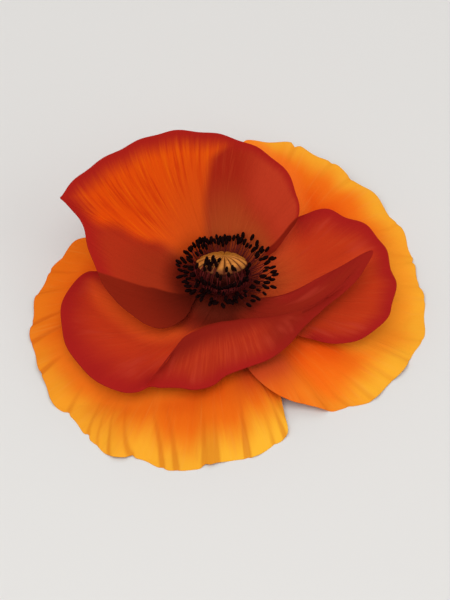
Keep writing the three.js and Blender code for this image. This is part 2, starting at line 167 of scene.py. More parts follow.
# %% [markdown]
# The folded petal
#
# The front petal has a flat lobe at its left. Past that lobe the blade climbs to a crest and falls over
# towards the near side, and its far end runs out in a pointed tail. A row of this petal therefore names
# three places across the blade, each by how far out and how high it is: the trough, the crest and the
# margin.

# %% Rows of the folded petal
FOLDED_PETAL = {
    "foot_height": 10.45, "foot_arc": (206, 314), "scallop": 0.2, "waves": 13,
    "rows": [
        (182.5, 9.5, 10.1, 14.5, 9.9, 18.8, 9.8), (175.5, 12.0, 10.0, 19.0, 9.8, 26.0, 9.8),
        (172.5, 14.0, 9.9, 23.0, 9.6, 31.8, 10.0), (174, 15.0, 9.8, 25.5, 9.4, 35.2, 9.8),
        (181, 16.0, 9.7, 28.0, 9.2, 39.0, 9.0), (194, 17.0, 9.6, 30.0, 8.9, 41.5, 8.0),
        (207, 17.0, 9.6, 31.0, 8.8, 42.5, 7.6), (220.5, 17.0, 9.6, 31.0, 8.8, 42.4, 7.4),
        (232, 16.0, 9.7, 30.5, 9.2, 40.8, 7.6), (238, 15.5, 9.8, 33.0, 10.4, 38.6, 8.3),
        (240.8, 15.0, 9.8, 32.6, 14.0, 36.2, 8.8), (244.3, 14.6, 9.9, 25.8, 16.4, 35.3, 8.6),
        (247.9, 14.2, 9.9, 23.5, 16.9, 34.1, 8.4), (252.6, 13.8, 10.0, 22.4, 17.2, 33.1, 8.2),
        (258, 13.5, 10.0, 21.3, 17.4, 32.6, 8.0), (265.5, 13.2, 10.0, 20.2, 17.5, 30.9, 8.2),
        (272, 13.0, 10.0, 19.4, 17.6, 28.1, 8.8), (282.3, 13.0, 10.0, 19.0, 17.6, 26.5, 9.0),
        (296.1, 13.0, 10.1, 18.9, 17.5, 26.2, 9.5), (308.7, 13.6, 10.2, 19.3, 17.0, 25.5, 10.5),
        (324, 15.0, 11.0, 20.8, 16.4, 25.2, 11.8), (338, 16.6, 11.8, 22.8, 15.7, 27.0, 12.8),
        (350, 18.2, 12.6, 25.4, 15.3, 31.0, 13.8), (360, 18.0, 12.5, 27.0, 14.8, 34.8, 14.8),
        (369, 17.0, 12.3, 28.4, 14.8, 37.8, 16.0), (364.5, 14.5, 12.0, 22.5, 13.4, 30.5, 14.4),
        (357.5, 12.0, 11.8, 18.5, 12.8, 24.5, 13.4), (340, 9.0, 11.6, 12.8, 11.8, 16.5, 11.8),
    ],
}
print("rows of the folded petal:", len(FOLDED_PETAL["rows"]))

# %% [markdown]
# Smooth curves through the rows
#
# A Catmull-Rom curve passes through every row, so the margin goes where the rows say. Its rows are then read
# off at even steps along the margin, because uneven steps would bunch the mesh at one side of the petal.


# %% Curve tools
def through(knots, u):
    """Catmull-Rom curve through knots (the second axis from the end): half of 2b + (d - a) f
    + (2a - 5b + 4d - e) f squared + (3b - a - 3d + e) f cubed, for the knots a, b, d, e round each u."""
    knots = np.asarray(knots, float)
    before = 2 * knots[..., :1, :] - knots[..., 1:2, :]
    after = 2 * knots[..., -1:, :] - knots[..., -2:-1, :]
    k = np.concatenate([before, knots, after], axis=-2)
    i = np.minimum(np.floor(u).astype(int), knots.shape[-2] - 2)
    f = (u - i)[:, None]
    a, b, d, e = (k[..., i + n, :] for n in range(4))
    return 0.5 * (
        2 * b + (d - a) * f + (2 * a - 5 * b + 4 * d - e) * f**2 + (3 * b - a - 3 * d + e) * f**3
    )


def round_axis(azimuth, reach, height):
    """Points at a direction in degrees, a distance from the axis and a height."""
    angle = np.radians(azimuth)
    return np.stack([reach * np.cos(angle), reach * np.sin(angle), height + 0 * angle], -1)


def rows_at_even_steps(rows, count):
    """Rows of the smooth curve at even steps of length along the margin."""
    rows = np.asarray(rows, float)
    u = np.linspace(0, len(rows) - 1, 40 * len(rows) + 1)
    fine = through(rows, u)
    reach, height = (fine[:, -2], fine[:, -1]) if rows.shape[1] == 7 else (fine[:, 1], fine[:, 2])
    margin = round_axis(fine[:, 0], reach, height)
    travelled = np.concatenate([[0], np.cumsum(np.linalg.norm(np.diff(margin, axis=0), axis=1))])
    return through(rows, np.interp(np.linspace(0, travelled[-1], count), travelled, u))


five_rows = rows_at_even_steps(OPEN_PETALS["inner_petal_right"]["rows"], 5)
print("directions of five even rows of the right petal:", five_rows[:, 0].round(0))

# %% [markdown]
# From margin to blade
#
# Spokes run from the foot to the margin. On an open petal the height of a spoke is a Bezier curve of foot,
# belly, shoulder and margin. On the folded petal a smooth curve runs through foot, trough, crest and margin.
# The mesh is finer towards the margin, where the blade is thin and the colour changes fastest.

# %% Blades as grids
SPOKES = 300
RINGS = 72
SECOND_WAVE = 0.37
ACROSS = np.linspace(0, 1, SPOKES)
OUTWARD = 1 - (1 - np.linspace(0, 1, RINGS)) ** 1.25
print("each blade is a grid of", SPOKES, "spokes and", RINGS, "rings")


def open_spokes(petal, rows):
    """Reach grows evenly from foot to margin. Height is (1-t)^3 foot + 3(1-t)^2 t belly
    + 3(1-t) t^2 shoulder + t^3 margin."""
    t = OUTWARD
    _, reach, rim, shoulder = (column[:, None] for column in rows.T)
    height = (
        (1 - t) ** 3 * petal["foot_height"]
        + 3 * (1 - t) ** 2 * t * petal["belly"]
        + 3 * (1 - t) * t**2 * shoulder
        + t**3 * rim
    )
    return FOOT_RADIUS + (reach - FOOT_RADIUS) * t, height


def folded_spokes(petal, rows):
    """Smooth curve through foot, trough, crest and margin, at three knots to the whole spoke."""
    foot = np.tile([FOOT_RADIUS, petal["foot_height"]], (len(rows), 1))
    knots = np.concatenate([foot[:, None], rows[:, 1:].reshape(-1, 3, 2)], axis=1)
    curve = through(knots, 3 * OUTWARD)
    return curve[..., 0], curve[..., 1]


def petal_grid(petal):
    """Middle of a blade. A spoke leaves the foot in its own direction and turns smoothly, as 3t^2 - 2t^3,
    to the direction of its row. Two sine waves of unlike length ruffle the margin, and their height fades in
    with t^5."""
    rows = rows_at_even_steps(petal["rows"], SPOKES)
    spokes = folded_spokes if rows.shape[1] == 7 else open_spokes
    reach, height = spokes(petal, rows)
    s, t = ACROSS[:, None], OUTWARD[None, :]
    phase = 2 * np.pi * petal["waves"] * s
    wave = np.sin(phase) + 0.6 * np.sin(SECOND_WAVE * phase + 1)
    first, last = petal["foot_arc"]
    foot = first + (last - first) * s
    azimuth = foot + (rows[:, :1] - foot) * (3 * t**2 - 2 * t**3)
    ruffle = petal["scallop"] * wave * t**5
    return round_axis(azimuth, reach + ruffle, height + ruffle), azimuth


# %% [markdown]
# Creases and nicks
#
# Real poppy petals are crumpled in the bud and never quite iron out. The broad outer ones keep soft
# creases that run in from the margin, and where a crease ends the margin has a small nick. The grid is
# pressed down along each crease, and drawn in at its end. On the near side of the left petal the creases
# run side by side rather than towards the axis, so each of them turns aside on its way in.

# %% Creases of the outer petals
# direction in degrees, depth of the groove, depth of the nick in millimetres
CREASES = {
    "outer_petal_left": [
        (164, 0.3, 0.35), (174, 0.25, 0.2), (186, 0.5, 0.25), (193, 0.45, 0.15), (205, 0.5, 0.4),
        (221, 0.28, 0.7), (230.5, 0.3, 0.9), (234.5, 0.26, 0.2), (239, 0.34, 0.2), (244.5, 0.4, 1.0),
        (253.7, 0.5, 0.45), (257.5, 0.55, 0.2), (265, 0.6, 0.8), (266.8, 0.4, 0.0), (268.5, 0.5, 0.2),
        (277.4, 0.9, 0.3), (286.3, 0.3, 0.3), (290.5, 0.5, 0.2),
    ],
    "outer_petal_right": [
        (-58.5, 0.35, 0.35), (-51.5, 0.4, 0.5), (-45, 0.45, 0.3), (-38, 0.45, 0.15), (-28.5, 0.4, 0.2),
        (-20, 0.35, 0.2), (-11.5, 0.25, 0.2), (3, 0.2, 0.2), (8, 0.2, 0.3), (17.5, 0.3, 0.6),
        (32.5, 0.25, 0.3), (50.5, 0.3, 0.3), (57, 0.3, 0.4), (68.5, 0.4, 1.1), (84.5, 0.3, 0.9),
    ],
}
# direction in degrees, and how many degrees a crease turns aside between its nick and the foot
CREASE_TURN = [
    (100, 0), (160, 12), (200, 16), (211, 18), (219, 23), (233, 40), (246, 34), (254, 21), (264, 7), (277, 0),
]
GROOVE_WIDTH = 0.9
NICK_WIDTH = 0.8
GROOVE_DROP = 0.6


def crease_marks(azimuth, creases):
    """Depth of groove and of nick at each point. Both are bell curves across the crease, exp(-x^2), where x
    is the number of widths from its line. Grooves fade in with t^2 from the middle of the blade, and nicks
    with t^14, which is next to nothing away from the margin."""
    t = OUTWARD[None, :]
    turned = azimuth + np.interp(azimuth, *zip(*CREASE_TURN)) * (1 - t)
    groove = sum(deep * np.exp(-(((turned - at) / GROOVE_WIDTH) ** 2)) for at, deep, _ in creases)
    nick = sum(deep * np.exp(-(((azimuth - at) / NICK_WIDTH) ** 2)) for at, _, deep in creases)
    return groove * np.clip((t - 0.45) / 0.5, 0, 1) ** 2, nick * t**14


def creased_grid(name, petal):
    """The blade, lowered by a share of its grooves' depth and drawn in towards the axis by its nicks."""
    grid, azimuth = petal_grid(petal)
    if name not in CREASES:
        return grid, np.zeros(grid.shape[:2])
    groove, nick = crease_marks(azimuth, CREASES[name])
    reach = np.linalg.norm(grid[..., :2], axis=-1, keepdims=True)
    outward = grid * [1, 1, 0] / reach
    return grid - outward * nick[..., None] - groove[..., None] * [0, 0, GROOVE_DROP], groove


GRIDS = {}
GROOVES = {}
for petal_name, petal_numbers in {**OPEN_PETALS, "inner_petal_front": FOLDED_PETAL}.items():
    GRIDS[petal_name], GROOVES[petal_name] = creased_grid(petal_name, petal_numbers)
    print(petal_name, "is", np.ptp(GRIDS[petal_name].reshape(-1, 3), axis=0).round(1), "mm")

# %% [markdown]
# What shows through a petal
#
# A poppy petal is thinner than paper, so a second petal behind it shows as a darker zone with a clear
# edge. Where nothing lies behind, light comes through and the petal glows. The finishes paint both into the
# colour: painted shade where a petal lies behind, and a painted glow where none does. To know which points
# have a petal behind them, the outlines are dropped on the surface in the direction in which the flower is
# usually seen, from the near side and half above. Each point of a petal then gets its distance inside the
# outline of the other: above zero where the two overlap, and below zero beside it.
#
# The same distance serves a petal that lies under another one. Petals that touch throw deep shade on each
# other in a render, while real ones pass light on. For that reason the finishes paint light on the lower
# petal beside the upper one, and paint shade on it only where the folded lip stands high above it.

# %% Distance inside another petal's outline
VIEW_ELEVATION = 50
VIEW_DISTANCE = 636.1
VIEW_TARGET = np.array([0.509, 3.322, 0.0])
tilt = math.radians(VIEW_ELEVATION)
EYE = VIEW_TARGET + VIEW_DISTANCE * np.array([0, -math.cos(tilt), math.sin(tilt)])
print("the flower is seen from", EYE.round(0), "mm")
# keeps a division away from zero
TINY = 1e-12


def dropped(points):
    """Where the line from the eye through a point meets the surface: eye + (point - eye) share."""
    share = EYE[2] / (EYE[2] - points[..., 2:])
    return (EYE + (points - EYE) * share)[..., :2]


def outline_of(name):
    """Closed outline of a dropped petal: its margin, and back along its foot."""
    grid = dropped(GRIDS[name])
    return np.concatenate([grid[0], grid[1:, -1], grid[-1, ::-1], grid[::-1, 0]])


def distance_to_line(points, line, batch=2000):
    """Least distance of each point to a line of short straight pieces. The points go through in batches,
    because all of them against all the pieces would fill the memory."""
    start, step = line[:-1], np.diff(line, axis=0)
    length2 = (step**2).sum(-1) + TINY
    nearest = np.full(len(points), np.inf)
    for first in range(0, len(points), batch):
        part = slice(first, first + batch)
        gap = points[part, None] - start
        u = np.clip((gap * step).sum(-1) / length2, 0, 1)
        nearest[part] = np.linalg.norm(gap - u[..., None] * step, axis=-1).min(axis=1)
    return nearest


def inside_outline(points, line):
    """True for points inside a closed line: an odd number of its pieces cross the ray to the right."""
    a, b = line, np.roll(line, -1, axis=0)
    inside = np.zeros(len(points), bool)
    for (ax, ay), (bx, by) in zip(a, b):
        crosses = (ay > points[:, 1]) != (by > points[:, 1])
        climb = by - ay if by != ay else TINY
        inside ^= crosses & (points[:, 0] < (bx - ax) * (points[:, 1] - ay) / climb + ax)
    return inside


def overlap_with(name, other):
    """Distance inside the other petal's outline, in millimetres, or below zero outside of it. Every second
    point of the outline is enough to measure to."""
    points = dropped(GRIDS[name]).reshape(-1, 2)
    line = outline_of(other)
    distance = distance_to_line(points, line[::2])
    return np.where(inside_outline(points, line), distance, -distance)


# %% [markdown]
# The five blades
#
# Each blade becomes a closed shell: one face above the middle, one below, and a narrow rim between them. It
# is half a millimetre thick at the foot and thins out to a tenth at the margin. Nothing may go below the
# surface that the flower lies on, so the lower face is pressed flat there.


# %% Shells of even growth
def unit_normals(grid):
    """Upward normal at each point: the outward step crossed with the step to the next spoke."""
    along = np.gradient(grid, axis=0)
    outward = np.gradient(grid, axis=1)
    normal = np.cross(outward, along)
    return normal / np.linalg.norm(normal, axis=-1, keepdims=True)


def blade_shell(grid):
    """Points and faces of a closed blade. Its thickness is 0.5 - 0.4 t of a millimetre."""
    half = (0.5 - 0.4 * OUTWARD)[None, :, None] / 2
    normal = unit_normals(grid)
    lower = grid - normal * half
    lower[..., 2] = np.maximum(lower[..., 2], 0.0)
    upper = grid + normal * half
    upper[..., 2] = np.maximum(upper[..., 2], lower[..., 2] + 0.1)
    points = np.concatenate([upper.reshape(-1, 3), lower.reshape(-1, 3)])
    across, along = grid.shape[:2]
    number = np.arange(across * along).reshape(across, along)
    rim = np.concatenate([number[0, :-1], number[:-1, -1], number[-1, :0:-1], number[:0:-1, 0]])
    rim_faces = np.stack([rim, rim + across * along, np.roll(rim, -1) + across * along, np.roll(rim, -1)], -1)
    faces = [
        grid_faces(across, along), grid_faces(across, along, across * along, flip=True), rim_faces,
    ]
    return points, np.concatenate(faces)


# %% [markdown]
# Where each colour lies
#
# The finishes that follow need to know where on a petal a point is. These numbers are worked out here, while
# the blades are still grids, and kept at the mesh's points. A short table says how wide the coloured rim is
# in each direction, because it is broad on one side of a petal and almost gone on the other. The rim follows
# the open margin only, not the side edges that lie under other petals.

# %% Tables of rims and gold
# direction in degrees and width of the rim in millimetres
RIM_WIDTHS = {
    "outer_petal_left": [(150, 7), (195, 7.5), (215, 11), (232, 13), (262, 12.5), (292, 14)],
    "outer_petal_right": [(-64, 8), (-45, 9), (-30, 11), (-12, 14), (30, 13), (45, 9.5), (93, 9.5)],
    "inner_petal_right": [(-46, 4.5), (-15, 5.0), (10, 6.0), (28, 8.5), (38, 7.5), (45, 5.0)],
    "inner_petal_back": [
        (31, 0.8), (42, 1.2), (50, 2.4), (75, 2.8), (100, 5.6), (155, 6.4), (187, 5.0), (205, 1.5),
        (234, 1.0),
    ],
    "inner_petal_front": [(172, 5), (182, 8), (205, 11), (228, 14), (241, 8), (256, 5), (300, 4.5), (369, 5)],
}
# direction in degrees and share of gold in the rim
GOLD = {
    "outer_petal_left": [(150, 0.1), (190, 0.22), (212, 0.55), (235, 0.76), (262, 0.85), (280, 1.0)],
    "outer_petal_right": [(-64, 0.0), (-54, 0.2), (-46, 0.5), (-36, 0.95), (10, 0.9), (40, 0.85), (93, 0.75)],
}
# where side edges are left out: how far from the axis, in millimetres, the open margin begins
OPEN_BEYOND = {"outer_petal_left": 0, "outer_petal_right": 0, "inner_petal_right": 28}
print("petals whose side edges have no rim:", ", ".join(OPEN_BEYOND))

# %% Directions and the open margin
# a direction before the petal's first row, from which its directions are counted on
COUNTED_FROM = {
    "outer_petal_left": 100, "outer_petal_right": -100, "inner_petal_right": -100, "inner_petal_back": 0,
    "inner_petal_front": 160,
}


def around(name, points):
    """Direction from the axis in degrees, without a jump between the petal's rows."""
    start = COUNTED_FROM[name]
    return (np.degrees(np.arctan2(points[:, 1], points[:, 0])) - start) % 360 + start


def open_margin(name):
    """Points of the margin, without the side edges that lie under other petals: those past the ends of the
    petal's rim table, or too near the axis."""
    margin = GRIDS[name][::2, -1]
    if name not in OPEN_BEYOND:
        return margin
    direction = around(name, margin)
    reach = np.linalg.norm(margin[:, :2], axis=1)
    low, high = RIM_WIDTHS[name][0][0], RIM_WIDTHS[name][-1][0]
    return margin[(direction >= low) & (direction <= high) & (reach > OPEN_BEYOND[name])]


print("margin points in the open:", {name: len(open_margin(name)) for name in GRIDS})


# %% Marks of a petal
def petal_marks(name):
    """Distance from the open margin as a share of the rim's width, distance from the axis, depth of the
    creases, direction, and share of gold."""
    flat = GRIDS[name].reshape(-1, 3)
    direction = around(name, flat)
    rim_width = np.interp(direction, *zip(*RIM_WIDTHS[name]))
    marks = {
        "inward": distance_to_line(flat, open_margin(name)) / rim_width,
        "from_axis": np.linalg.norm(flat[:, :2], axis=1),
        "groove": GROOVES[name].ravel(),
        "direction": direction,
    }
    if name in GOLD:
        marks["gold"] = np.interp(direction, *zip(*GOLD[name]))
    return marks


# %% [markdown]
# The folded petal has three marks more, which tell where the crest of its fold runs. Its lip has a band of
# painted shade below the crest, broad at the left end and narrow at the right.

# %% Marks of the fold
def crest_marks(grid):
    """For the folded petal: millimetres along the blade past its crest, how far the blade is folded there,
    from 0 to 1, and how deep in the band of painted shade below the crest a point is, with 1 at the band's
    end. The crest is two thirds of the way out, less a little where it is rounded."""
    steps = np.linalg.norm(np.diff(grid, axis=1), axis=-1)
    along = np.concatenate([np.zeros((len(grid), 1)), np.cumsum(steps, axis=1)], axis=1)
    crest = np.array([np.interp(2 / 3, OUTWARD, row) for row in along])
    margin_direction = around("inner_petal_front", grid[:, -1])
    rounded = np.interp(margin_direction, [240, 250, 262, 345], [0.1, 0.6, 1.7, 1.5])
    folded = np.interp(margin_direction, [238, 242, 345, 362], [0, 1, 1, 0])
    folded[np.arange(len(grid)) > np.argmax(margin_direction)] = 0
    past = along - (crest - rounded)[:, None]
    shade_band = np.interp(margin_direction, [240, 248, 256, 264, 276, 292, 310], [14, 11, 8.5, 8, 7, 6, 5])
    return {"past_crest": past.ravel(), "folded": np.repeat(folded, grid.shape[1]),
            "in_band": (past / shade_band[:, None]).ravel()}


fold = crest_marks(GRIDS["inner_petal_front"])
print("the lip is", round(float((fold["past_crest"] * fold["folded"]).max()), 1), "mm wide at most")

# %% Which petals overlap
# marks that hold the distance inside another petal's outline: the mark's name, and the other petal
OVERLAPS = {
    "outer_petal_left": {"front_over": "inner_petal_front"},
    "outer_petal_right": {"front_over": "inner_petal_front", "right_over": "inner_petal_right",
                          "back_over": "inner_petal_back"},
    "inner_petal_right": {"back_over": "inner_petal_back", "front_over": "inner_petal_front"},
    "inner_petal_front": {"back_over": "inner_petal_back"},
    "inner_petal_back": {"front_behind": "inner_petal_front", "left_behind": "outer_petal_left",
                         "right_behind": "outer_petal_right", "lobe_behind": "inner_petal_right"},
}
print("overlaps to measure:", sum(len(marks) for marks in OVERLAPS.values()))

# %% Make the five blades
# how much the streaks lean towards the petal's first row on their way to the margin
STREAK_LEAN = {"inner_petal_back": 0.25}
petals = {}
for petal_name, grid in GRIDS.items():
    shell_points, shell_faces = blade_shell(grid)
    marks = petal_marks(petal_name)
    if petal_name == "inner_petal_front":
        marks.update(fold)
    for mark, other in OVERLAPS[petal_name].items():
        marks[mark] = overlap_with(petal_name, other)
    s, t = np.meshgrid(ACROSS, OUTWARD, indexing="ij")
    s = s * (1 + STREAK_LEAN.get(petal_name, 0) * t)
    both_faces = {mark: np.tile(values, 2) for mark, values in marks.items()}
    uv = np.tile(np.stack([s.ravel(), t.ravel()], -1), (2, 1))
    petals[petal_name] = make_piece(
        petal_name + "_blade", shell_points, shell_faces, petal_name, uv, both_faces
    )

# %% [markdown]
# Ovary
#
# The ovary is a small barrel under a domed cap. The cap's rays are ridges that meet near its middle, where
# the pollen lands, and the cap's edge is scalloped between them. It is one surface turned round the axis,
# with the ridges added as a wave. It leans away from the near side and a little to the left, and its rays
# meet a little to the right of the cap's middle.

# %% Ovary
OVARY_FOOT = 12.2
CAP_RADIUS = 6.25
CAP_HEIGHT = 4.9
DOME_HEIGHT = 2.4
RAYS = 15
RAY_HEIGHT = 0.45
LEAN = 24
TO_THE_LEFT = 0.35
MIDDLE_TO_THE_RIGHT = 0.6
BARREL = [(0.0, 0.0), (2.5, 0.0), (3.1, 1.0), (4.3, 2.3), (4.95, 3.6), (4.6, 4.3), (5.85, 4.5), (6.25, 4.9)]


def ovary_points(turns=300, wall_rings=30, dome_rings=30):
    """Profile turned round the axis. The dome's height is 1 - part^2.2 of its full height, where part is 1 at
    the rim. Between the rays run narrow grooves, |cos(15 angle / 2)|^0.4, which fade out at the middle of the
    dome. That middle is moved to the right by 1 - part^2. The whole is bent back, more the higher a point
    is, and up to 24 degrees at the cap."""
    wall = through(BARREL, np.linspace(0, len(BARREL) - 1, wall_rings))
    part = np.linspace(1, 0, dome_rings)[1:]
    dome = np.stack([CAP_RADIUS * part, CAP_HEIGHT + DOME_HEIGHT * (1 - part**2.2)], -1)
    profile = np.concatenate([wall, dome])
    profile[0, 0] = profile[-1, 0] = 0.0
    angle = np.linspace(0, 2 * np.pi, turns, endpoint=False)[:, None]
    reach, height = profile[:, 0][None], profile[:, 1][None]
    on_cap = np.clip((height - CAP_HEIGHT + 0.5) / 0.4, 0, 1)
    sharp = np.abs(np.cos(RAYS / 2 * angle)) ** 0.4
    wide = reach / CAP_RADIUS
    ridge = RAY_HEIGHT * (sharp - 0.8) * on_cap
    grown = reach + ridge * wide
    lifted = height + ridge * np.clip(3 * wide, 0, 1)
    x = grown * np.cos(angle) + MIDDLE_TO_THE_RIGHT * on_cap * (1 - wide**2)
    y = grown * np.sin(angle)
    risen = np.clip(lifted / CAP_HEIGHT, 0, 1)
    bend = np.radians(LEAN) * risen
    points = np.stack([
        x - TO_THE_LEFT * risen, y * np.cos(bend) + lifted * np.sin(bend / 2),
        OVARY_FOOT + lifted * np.cos(bend / 2) - y * np.sin(bend),
    ], -1)
    marks = {"ray": sharp * on_cap, "cap_reach": np.where(on_cap > 0.5, wide, 1.2) + 0 * angle,
             "near_side": -np.sin(angle) + 0 * wide}
    return points, marks


ovary_grid, ovary_marks = ovary_points()
ovary = make_piece(
    "ovary_capsule", ovary_grid.reshape(-1, 3), grid_faces(*ovary_grid.shape[:2], wrap=True), "ovary",
    marks={mark: values.ravel() for mark, values in ovary_marks.items()},
)

# %% Close the ovary's ends
def merge_doubles(piece, distance):
    """Joins points that lie together, such as those of a grid's pole, and turns the faces outwards."""
    mesh = bmesh.new()
    mesh.from_mesh(piece.data)
    bmesh.ops.remove_doubles(mesh, verts=mesh.verts, dist=distance * MM)
    bmesh.ops.recalc_face_normals(mesh, faces=mesh.faces)
    mesh.to_mesh(piece.data)
    mesh.free()


merge_doubles(ovary, 0.002)
print("the ovary has", len(ovary.data.vertices), "points")

# %% [markdown]
# Stamens
#
# A stamen is a thin filament with an anther at its tip, like a grain of rice with a furrow. There are far
# too many to model each by hand, so one grain and one round filament are worked out once and carried to
# every tip by arrays. Three whorls surround the ovary. A close row of short stamens stands before its near
# side, a few more stand at its right and behind it, and some long ones bend in over its cap.

# %% Where the stamens stand
COLLAR_TOP = 13.2
rng = np.random.default_rng(11)


def round_the_axis(near, side, back, azimuth):
    """A number that changes smoothly from the near side by way of the sides to the back:
    side + (near or back - side) sin^2."""
    s = np.sin(azimuth)
    return side + (np.where(s > 0, back, near) - side) * s**2


def whorl(count, root, reaches, heights):
    """One whorl: the stamens' directions, and their feet, bows, tips and anthers' headings, each as reach and
    height. Directions are even steps of the circle and a seeded share of one step. A thread bows out: at
    0.28 of its rise it has 0.88 of its reach. The whorl reaches a little further to the right."""
    azimuth = (np.arange(count) + rng.uniform(0, 0.9, count)) * 2 * np.pi / count
    lopsided = 0.6 * np.cos(azimuth) - 0.9 * np.clip(-np.cos(azimuth), 0, 1) ** 2
    out = round_the_axis(*reaches, azimuth) + lopsided + rng.uniform(-0.75, 0.75, count)
    up = round_the_axis(*heights, azimuth) + rng.uniform(-0.7, 0.7, count)
    low = COLLAR_TOP - 0.6
    foot = np.stack([0 * azimuth + root, 0 * azimuth + low], -1)
    bow = np.stack([root + 0.88 * (out - root), low + 0.28 * (up - low)], -1)
    heading = np.stack([0 * azimuth + 1, 0.3 + 1.3 * np.clip(np.sin(azimuth), 0, 1)], -1)
    return azimuth, foot, bow, np.stack([out, up], -1), heading + rng.uniform(-0.25, 0.25, (count, 2))


def one_by_one(tips, foot, bow, heading):
    """The same for stamens whose tips are given one by one as direction, reach and height."""
    tips = np.asarray(tips, float)
    n = len(tips)
    end = tips[:, 1:] + rng.uniform(-0.3, 0.3, (n, 2))
    way = np.array(heading) + rng.uniform(-0.25, 0.25, (n, 2))
    return np.radians(tips[:, 0]), np.tile(foot, (n, 1)), np.tile(bow, (n, 1)), end, way


BEFORE_OVARY = [(direction, 7.6, 17.2) for direction in range(-142, -36, 5)]
BEHIND_OVARY = [(direction, 8.0 + direction / 50, 15.0) for direction in range(106, 140, 5)]
BESIDE_OVARY = [(-6, 6.4, 18.0), (-14, 6.3, 17.6), (-21, 6.5, 17.4), (-29, 6.7, 17.2), (-36, 7.1, 17.0)]
OVER_CAP = [
    (-151, 5.4, 20.6), (-151, 4.7, 20.8), (-138, 4.6, 20.4), (-150, 3.3, 20.9), (-128, 3.3, 20.6),
    (-146, 5.6, 20.3), (-143, 5.0, 20.6), (-132, 4.2, 20.6), (-122, 2.4, 20.9), (-116, 3.8, 20.3),
    (-128, 5.5, 19.9), (-138, 6.3, 20.0), (-151, 7.7, 20.2), (-80, 4.5, 19.7), (-58, 4.9, 19.7),
    (-49, 5.3, 19.8), (-75, 5.8, 19.4), (-102, 6.2, 19.0), (-96, 6.6, 18.9),
]
groups = [
    whorl(38, 4.3, (7.6, 9.0, 8.7), (15.4, 16.2, 15.4)),
    whorl(44, 4.5, (8.5, 10.4, 9.1), (14.8, 15.8, 16.0)),
    whorl(44, 4.8, (9.5, 11.6, 9.7), (14.2, 15.2, 15.7)),
    one_by_one(BEFORE_OVARY + BESIDE_OVARY, (4.4, 12.6), (8.0, 13.6), (0.2, 1.0)),
    one_by_one(BEHIND_OVARY, (4.8, 12.6), (9.6, 13.8), (0.5, 1.0)),
    one_by_one(OVER_CAP, (4.6, 12.6), (8.2, 17.4), (-0.3, 1.0)),
]
azimuth, foot, bow, tip, heading = (np.concatenate(parts) for parts in zip(*groups))
print(len(azimuth), "stamens")


# %% Anthers and filaments
ANTHER_RINGS, ANTHER_TURNS = 7, 8
FILAMENT_RINGS, FILAMENT_TURNS = 6, 5


def upright(points, azimuth):
    """Points given as reach, sideways and height, turned round the axis to each stamen's direction."""
    c, s = np.cos(azimuth)[:, None], np.sin(azimuth)[:, None]
    x = points[..., 0] * c - points[..., 1] * s
    y = points[..., 0] * s + points[..., 1] * c
    return np.stack([x, y, points[..., 2]], -1)


def anther_points(tip, heading):
    """Grain of length 1.8 and radius 0.46 along the heading: radius times sin(v)^0.8, less a furrow of a
    quarter of it on its upper side."""
    n = len(tip)
    v = np.linspace(0.08, np.pi - 0.08, ANTHER_RINGS)
    u = np.linspace(0, 2 * np.pi, ANTHER_TURNS, endpoint=False)
    size = rng.uniform(0.8, 1.15, n)[:, None, None]
    furrow = 1 - 0.25 * np.exp(-((np.sin(u) - 1) ** 2) / 0.1)
    radius = 0.46 * np.sin(v)[:, None] ** 0.8 * furrow[None]
    along = (1 - np.cos(v))[:, None] / 2 * 1.8 * size
    twist = rng.uniform(-0.35, 0.35, n)
    way = np.stack([heading[:, 0], twist, heading[:, 1]], -1)
    way /= np.linalg.norm(way, axis=1, keepdims=True)
    side = np.cross([0, 0, 1.0], way)
    side /= np.linalg.norm(side, axis=1, keepdims=True)
    over = np.cross(way, side)
    start = np.stack([tip[:, 0], 0 * tip[:, 0], tip[:, 1]], -1)
    c, s = np.cos(u)[None, None, :, None], np.sin(u)[None, None, :, None]
    ring = radius[None, ..., None] * size[..., None] * (c * side[:, None, None] + s * over[:, None, None])
    return start[:, None, None] + along[..., None] * way[:, None, None] + ring


def filament_points(foot, bow, tip):
    """Round thread along the Bezier curve (1-w)^2 foot + 2w(1-w) bow + w^2 tip, with a radius of 0.14 at the
    foot and 0.09 at the tip."""
    w = np.linspace(0, 1, FILAMENT_RINGS)[None, :, None]
    curve = (1 - w) ** 2 * foot[:, None] + 2 * w * (1 - w) * bow[:, None] + w**2 * tip[:, None]
    slope = 2 * (1 - w) * (bow - foot)[:, None] + 2 * w * (tip - bow)[:, None]
    slope /= np.linalg.norm(slope, axis=-1, keepdims=True)
    u = np.linspace(0, 2 * np.pi, FILAMENT_TURNS, endpoint=False)
    radius = (0.14 - 0.05 * w)[..., None]
    reach = curve[..., None, 0] - radius[..., 0] * np.sin(u) * slope[..., None, 1]
    height = curve[..., None, 1] + radius[..., 0] * np.sin(u) * slope[..., None, 0]
    return np.stack([reach, radius[..., 0] * np.cos(u) + 0 * reach, height], -1)


def tube_faces(count, rings, turns, first):
    """Faces of `count` like tubes as lists: four-cornered ones round the sides, and one at each end. The
    points of a tube are numbered ring by ring."""
    side = grid_faces(turns, rings, wrap=True).reshape(-1, 4)
    turn, ring = side // rings, side % rings
    one = ring * turns + turn
    steps = first + np.arange(count)[:, None, None] * rings * turns
    ends = [np.arange(turns)[::-1], (rings - 1) * turns + np.arange(turns)]
    faces = (one[None] + steps).reshape(-1, 4).tolist()
    for end in ends:
        faces += (end[None] + steps[:, 0]).reshape(-1, turns).tolist()
    return faces


anthers = anther_points(tip, heading)
filaments = filament_points(foot, bow, tip)
print("anthers", anthers.shape, "filaments", filaments.shape)


# %% The collar
COLLAR_PROFILE = [(3.95, 12.2), (5.3, 12.2), (5.3, 12.9), (4.9, 13.2), (4.3, 13.2), (3.95, 12.9)]


